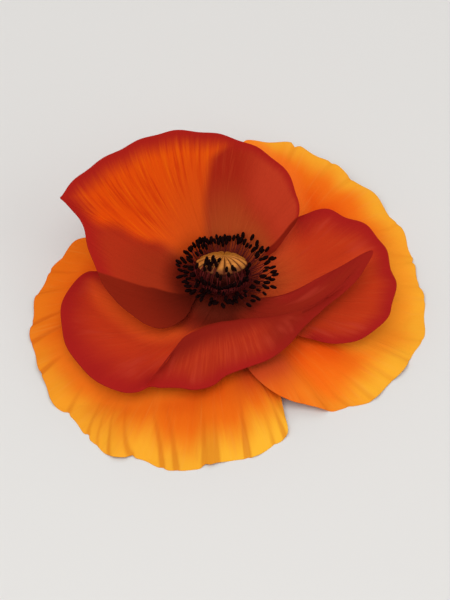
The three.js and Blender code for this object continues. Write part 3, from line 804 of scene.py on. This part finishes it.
def collar_points(turns=52):
    """The joined feet of the stamens: a low ring with a rounded top, its profile turned round the axis."""
    angle = np.linspace(0, 2 * np.pi, turns, endpoint=False)
    rings = [(r * np.cos(angle), r * np.sin(angle), z + 0 * angle) for r, z in COLLAR_PROFILE]
    return np.stack([np.stack(ring, -1) for ring in rings], 1)


def closed_ring_faces(turns, corners, first):
    """Faces of a ring whose profile is closed too, so both ways lead back to the start."""
    i, j = np.meshgrid(np.arange(turns), np.arange(corners), indexing="ij")
    next_i, next_j = (i + 1) % turns, (j + 1) % corners
    faces = [i * corners + j, next_i * corners + j, next_i * corners + next_j, i * corners + next_j]
    return (first + np.stack(faces, -1).reshape(-1, 4)).tolist()


collar = collar_points()
print("collar", collar.shape)

# %% One mesh of all stamens
parts = [
    upright(anthers.reshape(len(azimuth), -1, 3), azimuth).reshape(-1, 3),
    upright(filaments.reshape(len(azimuth), -1, 3), azimuth).reshape(-1, 3),
    collar.reshape(-1, 3),
]
anther_count, filament_count, collar_count = (len(part) for part in parts)
stamen_faces = (
    tube_faces(len(azimuth), ANTHER_RINGS, ANTHER_TURNS, 0)
    + tube_faces(len(azimuth), FILAMENT_RINGS, FILAMENT_TURNS, anther_count)
    + closed_ring_faces(*collar.shape[:2], anther_count + filament_count)
)
is_anther = np.concatenate([np.ones(anther_count), np.zeros(filament_count + collar_count)])
stamens = make_piece(
    "stamen_whorls", np.concatenate(parts), stamen_faces, "stamens", marks={"anther": is_anther}
)
merge_doubles(stamens, 0.0001)

# %% [markdown]
# Receptacle and stub
#
# Under the petals the stem widens into the receptacle that they grow from. The stub is cut off flat where
# it meets the surface. Fine ribs run down it, as on the real stem.


# %% Receptacle
STEM_PROFILE = [
    (0, 0), (1.5, 0), (1.6, 0.1), (1.62, 1.5), (1.6, 3.0), (1.65, 3.8), (1.9, 4.9), (2.9, 6.0), (4.2, 6.6),
    (4.35, 7.2), (4.35, 9.5), (4.35, 11.6), (4.1, 11.9), (2.0, 11.9), (0, 11.9),
]


def receptacle_points(turns=120):
    """Profile turned round the axis, its reach times 1 + 0.035 cos(12 angle) below the petals."""
    profile = np.array(STEM_PROFILE, float)
    angle = np.linspace(0, 2 * np.pi, turns, endpoint=False)[:, None]
    reach, height = profile[:, 0][None], profile[:, 1][None]
    ribbed = reach * (1 + 0.035 * np.cos(12 * angle) * ((height > 0.05) & (height < 6.0)))
    return np.stack([ribbed * np.cos(angle), ribbed * np.sin(angle), height + 0 * angle], -1)


stub_grid = receptacle_points()
receptacle = make_piece(
    "receptacle_stub", stub_grid.reshape(-1, 3), grid_faces(*stub_grid.shape[:2], wrap=True), "receptacle",
)
merge_doubles(receptacle, 0.002)

# %% [markdown]
# Finishes
#
# A material is a small network of nodes. Writing it as sums keeps it readable, so one class stands for a
# value that flows through the network, and adding or multiplying such values adds the Math nodes. A
# finish is built up in layers, like paint: each line turns the base towards one more colour where a mark
# rises. Distances in the marks are millimetres, and directions are degrees.


# %% Values and nodes
class Value:
    """A node's output. Sums, differences and products of values add Math nodes."""

    def __init__(self, finish, socket):
        self.finish = finish
        self.socket = socket

    def math(self, operation, *others):
        return self.finish.node("ShaderNodeMath", {"operation": operation}, (self, *others))

    def __add__(self, other):
        return self.math("ADD", other)

    __radd__ = __add__

    def __sub__(self, other):
        return self.math("SUBTRACT", other)

    def __rsub__(self, other):
        return self.finish.node("ShaderNodeMath", {"operation": "SUBTRACT"}, (other, self))

    def __mul__(self, other):
        return self.math("MULTIPLY", other)

    __rmul__ = __mul__


class Finish:
    """A material with a Principled surface, and the one method that adds any other node to it."""

    def __init__(self, name, **constants):
        self.material = bpy.data.materials.new(name)
        self.material.use_nodes = True
        self.tree = self.material.node_tree
        self.surface = self.tree.nodes["Principled BSDF"]
        for socket, value in constants.items():
            self.surface.inputs[socket.replace("_", " ")].default_value = value

    def put(self, value, socket):
        """Links a value to a socket, or sets a number or colour on it."""
        if isinstance(value, Value):
            self.tree.links.new(value.socket, socket)
        else:
            socket.default_value = value

    def node(self, kind, settings, values, output=0):
        """Adds a node. Settings are its own properties; values fill its sockets by number or by name."""
        made = self.tree.nodes.new(kind)
        for key, setting in settings.items():
            setattr(made, key, setting)
        pairs = values.items() if isinstance(values, dict) else enumerate(values)
        for key, value in pairs:
            self.put(value, made.inputs[key])
        return Value(self, made.outputs[output])

    def mark(self, name):
        """A number kept at the mesh's points."""
        return self.node("ShaderNodeAttribute", {"attribute_name": name}, {}, "Fac")

    def rise(self, value, low, high):
        """0 where a value, or the mark of that name, is at low, 1 at high, and smooth between them."""
        if isinstance(value, str):
            value = self.mark(value)
        return self.node(
            "ShaderNodeMapRange", {"interpolation_type": "SMOOTHSTEP"},
            {"Value": value, "From Min": low, "From Max": high},
        )

    def blend(self, factor, first, second):
        """One colour at factor 0 and the other at factor 1."""
        return self.node("ShaderNodeMix", {"data_type": "RGBA"}, {0: factor, 6: first, 7: second}, 2)

    def tint(self, base, factor, screen_colour):
        """The base, turned towards a screen colour as far as the factor says."""
        return self.blend(factor, base, colour(*screen_colour))

    def wear(self, base_color, roughness, bump_height, bump_distance):
        """Connects what varies over the surface."""
        self.put(base_color, self.surface.inputs["Base Color"])
        self.put(roughness, self.surface.inputs["Roughness"])
        bump = self.node(
            "ShaderNodeBump", {}, {"Strength": 1.0, "Distance": bump_distance, "Height": bump_height}
        )
        self.put(bump, self.surface.inputs["Normal"])


def colour(red, green, blue):
    """A colour as a screen shows it, from 0 to 255, as the linear light that Blender reckons in."""
    screen = np.array([red, green, blue]) / 255
    linear = np.where(screen <= 0.04045, screen / 12.92, ((screen + 0.055) / 1.055) ** 2.4)
    return (*linear.tolist(), 1.0)


def streaks(finish, across, outward, seed, detail=3.0):
    """Noise at (s across, t outward, seed), so there are many changes across the blade and few from foot
    to margin. The seed makes each layer of streaks its own."""
    uv = finish.node("ShaderNodeUVMap", {"uv_map": "blade"}, {})
    s, t = (finish.node("ShaderNodeSeparateXYZ", {}, (uv,), output) for output in (0, 1))
    place = finish.node("ShaderNodeCombineXYZ", {}, (s * across, t * outward, seed))
    return finish.node("ShaderNodeTexNoise", {}, {"Vector": place, "Scale": 1.0, "Detail": detail})


def mottle(finish, scale, detail=3.0):
    """Soft noise that is the same size in every direction."""
    place = finish.node("ShaderNodeTexCoord", {}, {}, "Object")
    return finish.node("ShaderNodeTexNoise", {}, {"Vector": place, "Scale": scale, "Detail": detail})


# %% [markdown]
# Outer petals
#
# They are orange where the red petals rest on them and golden yellow towards the margin. The change
# from one to the other is broken up by streaks, and each crease is darker with painted shade. Petals have no
# gloss worth the name, so the finishes have no specular part, and the relief is a quarter of a millimetre.

# %% What the two outer petals share
PETAL_RELIEF = 0.00025


def gold_blade(name, seed, crease_shade, inner, middle, rim, outer):
    """A finish, its streaks, and the colour of the blade by distance from the margin: inner, middle, and at
    the margin rim or outer by the share of gold. The creases get painted shade by the given share."""
    f = Finish(name, Specular_IOR_Level=0.0)
    fine = streaks(f, 150, 2.5, seed)
    broad = streaks(f, 26, 1.4, seed + 3)
    inward = f.mark("inward") + (broad - 0.5) * 0.7 + (fine - 0.5) * 0.2
    gilded = f.blend(f.mark("gold"), rim, outer)
    base = f.blend(f.rise(inward, 0.05, 0.95), gilded, middle)
    base = f.blend(f.rise(inward, 0.7, 1.7), base, inner)
    # painted shade in the creases
    base = f.tint(base, f.rise("groove", 0.02, 0.4) * crease_shade, (198, 84, 18))
    base = f.tint(base, f.rise(fine, 0.5, 0.8) * 0.12, (250, 190, 90))
    return f, base, fine, broad


def finish_gold(f, base, fine, broad, seed):
    """Adds roughness and relief, and gives the material."""
    height = fine * 0.5 + streaks(f, 60, 4, seed + 5) + mottle(f, 500) * 0.3
    f.wear(base, 0.62 + (broad - 0.5) * 0.2, height, PETAL_RELIEF)
    return f.material


# %% [markdown]
# The left outer petal has painted light beside the front petal's lobe, which makes it a little lighter there.
# Beside the lip, at its right end, it has the lip's shade painted on.

# %% Finish of the left outer petal
SEED_LEFT = 1.0
f, base, fine, broad = gold_blade(
    "golden_petal_left", SEED_LEFT, 0.45, inner=colour(228, 84, 16), middle=colour(237, 110, 22),
    rim=colour(234, 98, 16), outer=colour(252, 182, 49),
)
# painted light beside the front petal's lobe, against the shade the lobe throws
painted_light_by_lobe = f.rise("front_over", -7.0, -0.3) * f.rise("direction", 190, 206)
base = f.tint(base, painted_light_by_lobe * f.rise("direction", 262, 240), (255, 126, 30))
# painted shade of the front petal's lip
painted_lip_shade = f.rise("front_over", -13.0, -1.0) * f.rise("direction", 270, 283)
base = f.tint(base, painted_lip_shade * 0.85, (196, 64, 24))
petals["outer_petal_left"].data.materials.append(finish_gold(f, base, fine, broad, SEED_LEFT))

# %% [markdown]
# The right outer petal has painted shade beside the front petal, deepest as the lip's shade at its near end,
# and painted light beside the right and the back petal.

# %% Finish of the right outer petal
SEED_RIGHT = 9.0
f, base, fine, broad = gold_blade(
    "golden_petal_right", SEED_RIGHT, 0.2, inner=colour(238, 86, 16), middle=colour(245, 114, 24),
    rim=colour(240, 108, 26), outer=colour(250, 175, 46),
)
# painted shade beside the front petal
base = f.tint(base, f.rise("front_over", -8.0, -1.0) * 0.45, (208, 68, 24))
# painted shade of the front petal's lip
painted_lip_shade = f.rise("front_over", -14.0, -1.0) * f.rise("direction", -46, -58)
base = f.tint(base, painted_lip_shade * 0.95, (200, 70, 32))
# painted light beside the right and the back petal, against the shade they throw
right_side = f.rise("direction", -32, -22) * f.rise("direction", 34, 20)
base = f.tint(base, f.rise("right_over", -8.0, -1.0) * right_side * 0.9, (255, 156, 40))
base = f.tint(base, f.rise("back_over", -4.0, -0.3) * 0.7, (252, 116, 34))
petals["outer_petal_right"].data.materials.append(finish_gold(f, base, fine, broad, SEED_RIGHT))

# %% [markdown]
# Red petals
#
# Their blades are orange-red, turn crimson towards the margin, and are brown at the heart. Every change is
# slow, as in a watercolour wash, and fine streaks run from foot to margin. One function lays down what the
# three have in common, and a second one adds the crimson rim and the relief.

# %% What the three red petals share
CRIMSON = colour(165, 31, 27)
SCARLET = colour(189, 54, 24)
EMBER = colour(182, 68, 28)
BROWN = colour(112, 36, 22)
print("crimson in linear light:", [round(part, 3) for part in CRIMSON])


def red_blade(name, seed, body=SCARLET, heart=EMBER, heart_reach=26):
    """A finish, its streaks, and the colour of the blade: the body's colour, which turns to the heart's
    within heart_reach of the axis, and light and dark streaks over both."""
    f = Finish(name, Specular_IOR_Level=0.0)
    fine = streaks(f, 170, 3, seed)
    broad = streaks(f, 30, 2, seed + 2)
    base = f.blend(f.rise("from_axis", heart_reach, 12), body, heart)
    base = f.tint(base, f.rise(fine, 0.48, 0.75) * 0.22, (204, 82, 42))
    base = f.tint(base, f.rise(broad, 0.5, 0.72) * 0.22, (166, 36, 20))
    return f, base, fine, broad


def finish_red(f, base, fine, broad, rim=CRIMSON, brown_reach=11.5, flecks=0.3):
    """Adds the rim with its pale flecks, the brown foot, roughness and relief, and gives the material."""
    inward = f.mark("inward") + (broad - 0.5) * 0.35 + (fine - 0.5) * 0.12
    base = f.blend(f.rise(inward, 1.05, 0.05), base, rim)
    in_rim = f.rise("inward", 1.5, 0.9) * f.rise("inward", 0.15, 0.5)
    base = f.tint(base, in_rim * f.rise(broad, 0.52, 0.68) * flecks, (198, 66, 48))
    base = f.blend(f.rise("from_axis", brown_reach, brown_reach - 4.5), base, BROWN)
    height = fine * 0.6 + broad * 1.2 + mottle(f, 500) * 0.25
    f.wear(base, 0.6 + (broad - 0.5) * 0.2, height, PETAL_RELIEF)
    return f.material


# %% Finish of the right petal
f, base, fine, broad = red_blade("red_petal_right", 21.0, heart=colour(192, 74, 32))
# painted light beside the front and the back petal, against the shade they throw on it
base = f.tint(base, f.rise("front_over", -4.0, -0.3) * 0.35, (220, 72, 34))
base = f.tint(base, f.rise("back_over", -5.0, -0.3) * 0.3, (224, 78, 44))
petals["inner_petal_right"].data.materials.append(finish_red(f, base, fine, broad))

# %% [markdown]
# The front petal has the dark blotch that poppies carry at the foot, deepened by painted shade under the
# stamens and lifted by painted light beside the back petal. Where it is folded, the lip that falls over from
# the crest is finely striped and darkest right below the crest, in a band of painted shade, and its far end,
# rim too, has painted shade where it turns away from the light. The hollow before the crest is dark too, with
# painted shade. On the flat lobe the petal has painted light beside the back petal.

# %% Finish of the front petal
f, base, fine, broad = red_blade("red_petal_front", 31.0, body=colour(198, 56, 25), heart=colour(156, 43, 23))
direction = f.mark("direction")
lip = f.mark("folded") * f.rise("past_crest", -0.3, 0.3)
from_axis = f.mark("from_axis")
# painted light beside the back petal, against the shade of its fold
painted_light_by_back = f.rise("back_over", -7.0, -0.5) * (1.0 - lip) * f.rise(from_axis, 14, 20)
base = f.tint(base, painted_light_by_back * 0.95, (250, 94, 34))
striped = f.blend(f.rise(streaks(f, 240, 5, 36.0), 0.4, 0.65), colour(166, 43, 25), colour(180, 56, 30))
base = f.blend(lip * 0.75, base, striped)
# painted shade on the far end, where it turns away from the light
base = f.tint(base, f.rise(direction, 289, 308) * 0.9, (143, 34, 22))
# painted shade right below the crest
painted_crest_shade = lip * f.rise("in_band", 1.0, 0.25)
base = f.tint(base, painted_crest_shade, (136, 30, 20))
# painted shade in the hollow before the crest
painted_hollow_shade = f.mark("folded") * f.rise("past_crest", -4.0, -0.3) * f.rise(direction, 245, 254)
base = f.tint(base, painted_hollow_shade * (1.0 - lip) * 0.8, (118, 26, 16))
# the poppy's own dark blotch at the foot, together with painted shade under the stamens; painted light lifts
# it beside the back petal
blotch = f.blend(f.rise(from_axis, 10, 16), colour(96, 26, 14), colour(126, 34, 20))
blotch = f.tint(blotch, f.rise("back_over", -3.5, -0.3), (136, 36, 20))
base = f.blend(f.rise(from_axis, 20.5, 12.5) * (1.0 - lip) * f.rise(direction, 318, 275), base, blotch)
# the rim is darker at the far end too, with painted shade
rim = f.blend(f.rise(direction, 290, 308), CRIMSON, colour(151, 32, 24))
petals["inner_petal_front"].data.materials.append(finish_red(f, base, fine, broad, rim, brown_reach=13.5))

# %% [markdown]
# The back petal stands up and lets the light through, and that light is painted on. A painted glow makes it
# orange where nothing is behind it, and dark streaks, like tongues of flame, run through the orange. Painted
# shade makes it red where an outer petal lies behind it, and darkest where the front petal does. A band of
# painted shade at its right margin shows the right petal behind it, and painted shade darkens its heart.
# Its rim is laid on before these zones, so that they darken the rim as well.

# %% Finish of the back petal
f, base, fine, broad = red_blade(
    "red_petal_back", 41.0, body=colour(165, 38, 21), heart=colour(178, 71, 31), heart_reach=20.5
)
from_axis = f.mark("from_axis")
turned = f.rise("direction", 82, 60)
base = f.tint(base, turned * f.rise(from_axis, 14, 20), (190, 58, 33))
left_side = f.blend(f.rise(from_axis, 28, 17), colour(177, 50, 25), colour(163, 50, 24))
base = f.blend(f.rise("direction", 140, 165), base, left_side)
# painted glow of the light that comes through the petal
painted_glow = f.blend(f.rise(from_axis, 27, 13), colour(229, 78, 12), colour(218, 82, 24))
painted_glow = f.tint(painted_glow, f.rise(fine, 0.5, 0.7) * f.rise(from_axis, 12, 24) * 0.6, (238, 100, 12))
tongues = f.rise(streaks(f, 115, 2.2, 47.0), 0.47, 0.64)
clusters = 0.35 + f.rise(streaks(f, 24, 3.0, 52.0), 0.4, 0.62)
painted_glow = f.tint(painted_glow, tongues * clusters * f.rise(from_axis, 15, 25) * 0.5, (203, 50, 12))
# the painted glow stops where an outer petal lies behind, leaving painted shade there
left_behind = f.mark("left_behind") + f.rise(from_axis, 24, 33) * 4.0
open_sky = f.rise(left_behind, 2.2, -2.4) * f.rise("right_behind", 0.8, -2.8)
base = f.blend(open_sky, base, painted_glow)
heart_shade = f.rise(from_axis, 17, 10.5) * f.rise("direction", 100, 160)
base = f.tint(base, heart_shade * 0.85, (92, 22, 13))
base = f.tint(base, f.rise(f.mark("inward") + (fine - 0.5) * 0.4, 1.1, 0.1), (170, 34, 26))
# painted shade where the front petal lies behind
painted_front_shade = f.blend(f.rise(from_axis, 26, 9), colour(136, 35, 18), colour(88, 22, 12))
base = f.blend(f.rise("front_behind", -0.3, 0.5), base, painted_front_shade)
# painted shade where the right petal lies behind
base = f.tint(base, f.rise("lobe_behind", -0.4, 0.2) * f.rise(from_axis, 11, 14), (132, 30, 16))
petals["inner_petal_back"].data.materials.append(finish_red(f, base, fine, broad, rim=base, flecks=0.0))
print("petals finished:", [p.data.materials[0].name for p in petals.values()])

# %% [markdown]
# Ovary, stamens and stem
#
# The cap is a dusty gold with brown furrows. It is darker at its middle, and its near edge is darker with
# painted shade from the stamens before it. Its barrel is brown, partly its own colour and partly painted
# shade under the cap. Anthers are nearly black with a trace of maroon, and their threads are maroon. The
# green of the stem ends where the petals begin, and above them the receptacle is as brown as the petals'
# feet.

# %% Finish of the ovary
f = Finish("ribbed_gold", Specular_IOR_Level=0.1)
ray = f.rise("ray", 0.42, 1.0)
grain = mottle(f, 900)
base = f.blend(ray, colour(96, 44, 12), colour(214, 134, 58))
base = f.tint(base, f.rise("cap_reach", 0.6, 0.1) * 0.5, (150, 92, 26))
base = f.tint(base, f.rise("near_side", 0.2, -0.5) * 0.7, (158, 98, 22))
base = f.tint(base, f.rise(grain, 0.45, 0.7) * 0.4, (124, 74, 22))
# painted shade on the near edge of the cap, below the stamens before it
painted_edge_shade = f.rise("near_side", 0.3, 0.75) * f.rise("cap_reach", 0.72, 0.95)
base = f.tint(base, painted_edge_shade * 0.8, (98, 40, 24))
# the barrel's brown, partly its own colour and partly painted shade under the cap
base = f.tint(base, f.rise("cap_reach", 1.05, 1.15), (92, 34, 22))
f.wear(base, 0.55 + grain * 0.2, grain, 0.0002)
ovary.data.materials.append(f.material)

# %% Finish of the stamens
f = Finish("maroon_stamens", Specular_IOR_Level=0.05)
grain = mottle(f, 2500)
base = f.blend(f.mark("anther"), colour(106, 33, 31), colour(18, 2, 2))
base = f.tint(base, f.rise(grain, 0.55, 0.8) * 0.35, (56, 10, 10))
f.wear(base, 0.65 + grain * 0.2, grain, 0.00012)
stamens.data.materials.append(f.material)

# %% Finish of the stem
f = Finish("green_stem", Specular_IOR_Level=0.3)
grain = mottle(f, 700)
base = f.blend(f.rise(grain, 0.35, 0.7), colour(112, 128, 62), colour(150, 158, 88))
place = f.node("ShaderNodeTexCoord", {}, {}, "Object")
height_on_stem = f.node("ShaderNodeSeparateXYZ", {}, (place,), 2)
base = f.blend(f.rise(height_on_stem, 0.0064, 0.0074), base, BROWN)
f.wear(base, 0.6 + grain * 0.2, grain, 0.0003)
receptacle.data.materials.append(f.material)

# %% [markdown]
# Surface, light and camera
#
# The flower lies on a plain pale surface in soft light. The camera looks from the near side, half above,
# with a long lens, so that the flower is hardly foreshortened by nearness.

# %% Surface
floor_mesh = bpy.data.meshes.new("surface")
floor_mesh.from_pydata([(-3, -3, 0), (3, -3, 0), (3, 3, 0), (-3, 3, 0)], [], [(0, 1, 2, 3)])
surface = bpy.data.objects.new("surface", floor_mesh)
bpy.context.scene.collection.objects.link(surface)
f = Finish("pale_surface", Specular_IOR_Level=0.2)
f.surface.inputs["Base Color"].default_value = colour(226, 224, 220)
f.surface.inputs["Roughness"].default_value = 0.8
floor_mesh.materials.append(f.material)

# %% Light
world = bpy.data.worlds.new("studio")
world.use_nodes = True
world.node_tree.nodes["Background"].inputs["Color"].default_value = colour(242, 242, 244)
world.node_tree.nodes["Background"].inputs["Strength"].default_value = 0.6
bpy.context.scene.world = world
bpy.context.scene.view_settings.view_transform = "Standard"


def soft_light(name, place, size, power):
    """Square area light that faces the flower's heart. Place and size are in metres."""
    data = bpy.data.lights.new(name, "AREA")
    data.size = size
    data.energy = power
    lamp = bpy.data.objects.new(name, data)
    lamp.location = place
    towards = -np.array(place) + [0, 0, 0.01]
    lamp.rotation_euler = (
        math.acos(-towards[2] / np.linalg.norm(towards)), 0, math.atan2(towards[1], towards[0]) - math.pi / 2
    )
    bpy.context.scene.collection.objects.link(lamp)


soft_light("key", (-0.15, -0.3, 0.8), 0.7, 3.4)
soft_light("fill", (0.6, -0.4, 0.5), 0.7, 1.3)
soft_light("back", (0.1, 0.7, 0.6), 0.6, 0.8)

# %% Camera
camera_data = bpy.data.cameras.new("camera")
camera_data.lens = 150
camera_data.sensor_width = 36
camera = bpy.data.objects.new("camera", camera_data)
camera.location = EYE * MM + AXIS
camera.rotation_euler = (math.radians(90 - VIEW_ELEVATION), 0, 0)
bpy.context.scene.collection.objects.link(camera)
bpy.context.scene.camera = camera
print("camera at", (EYE / 10).round(1), "cm from the foot of the axis")
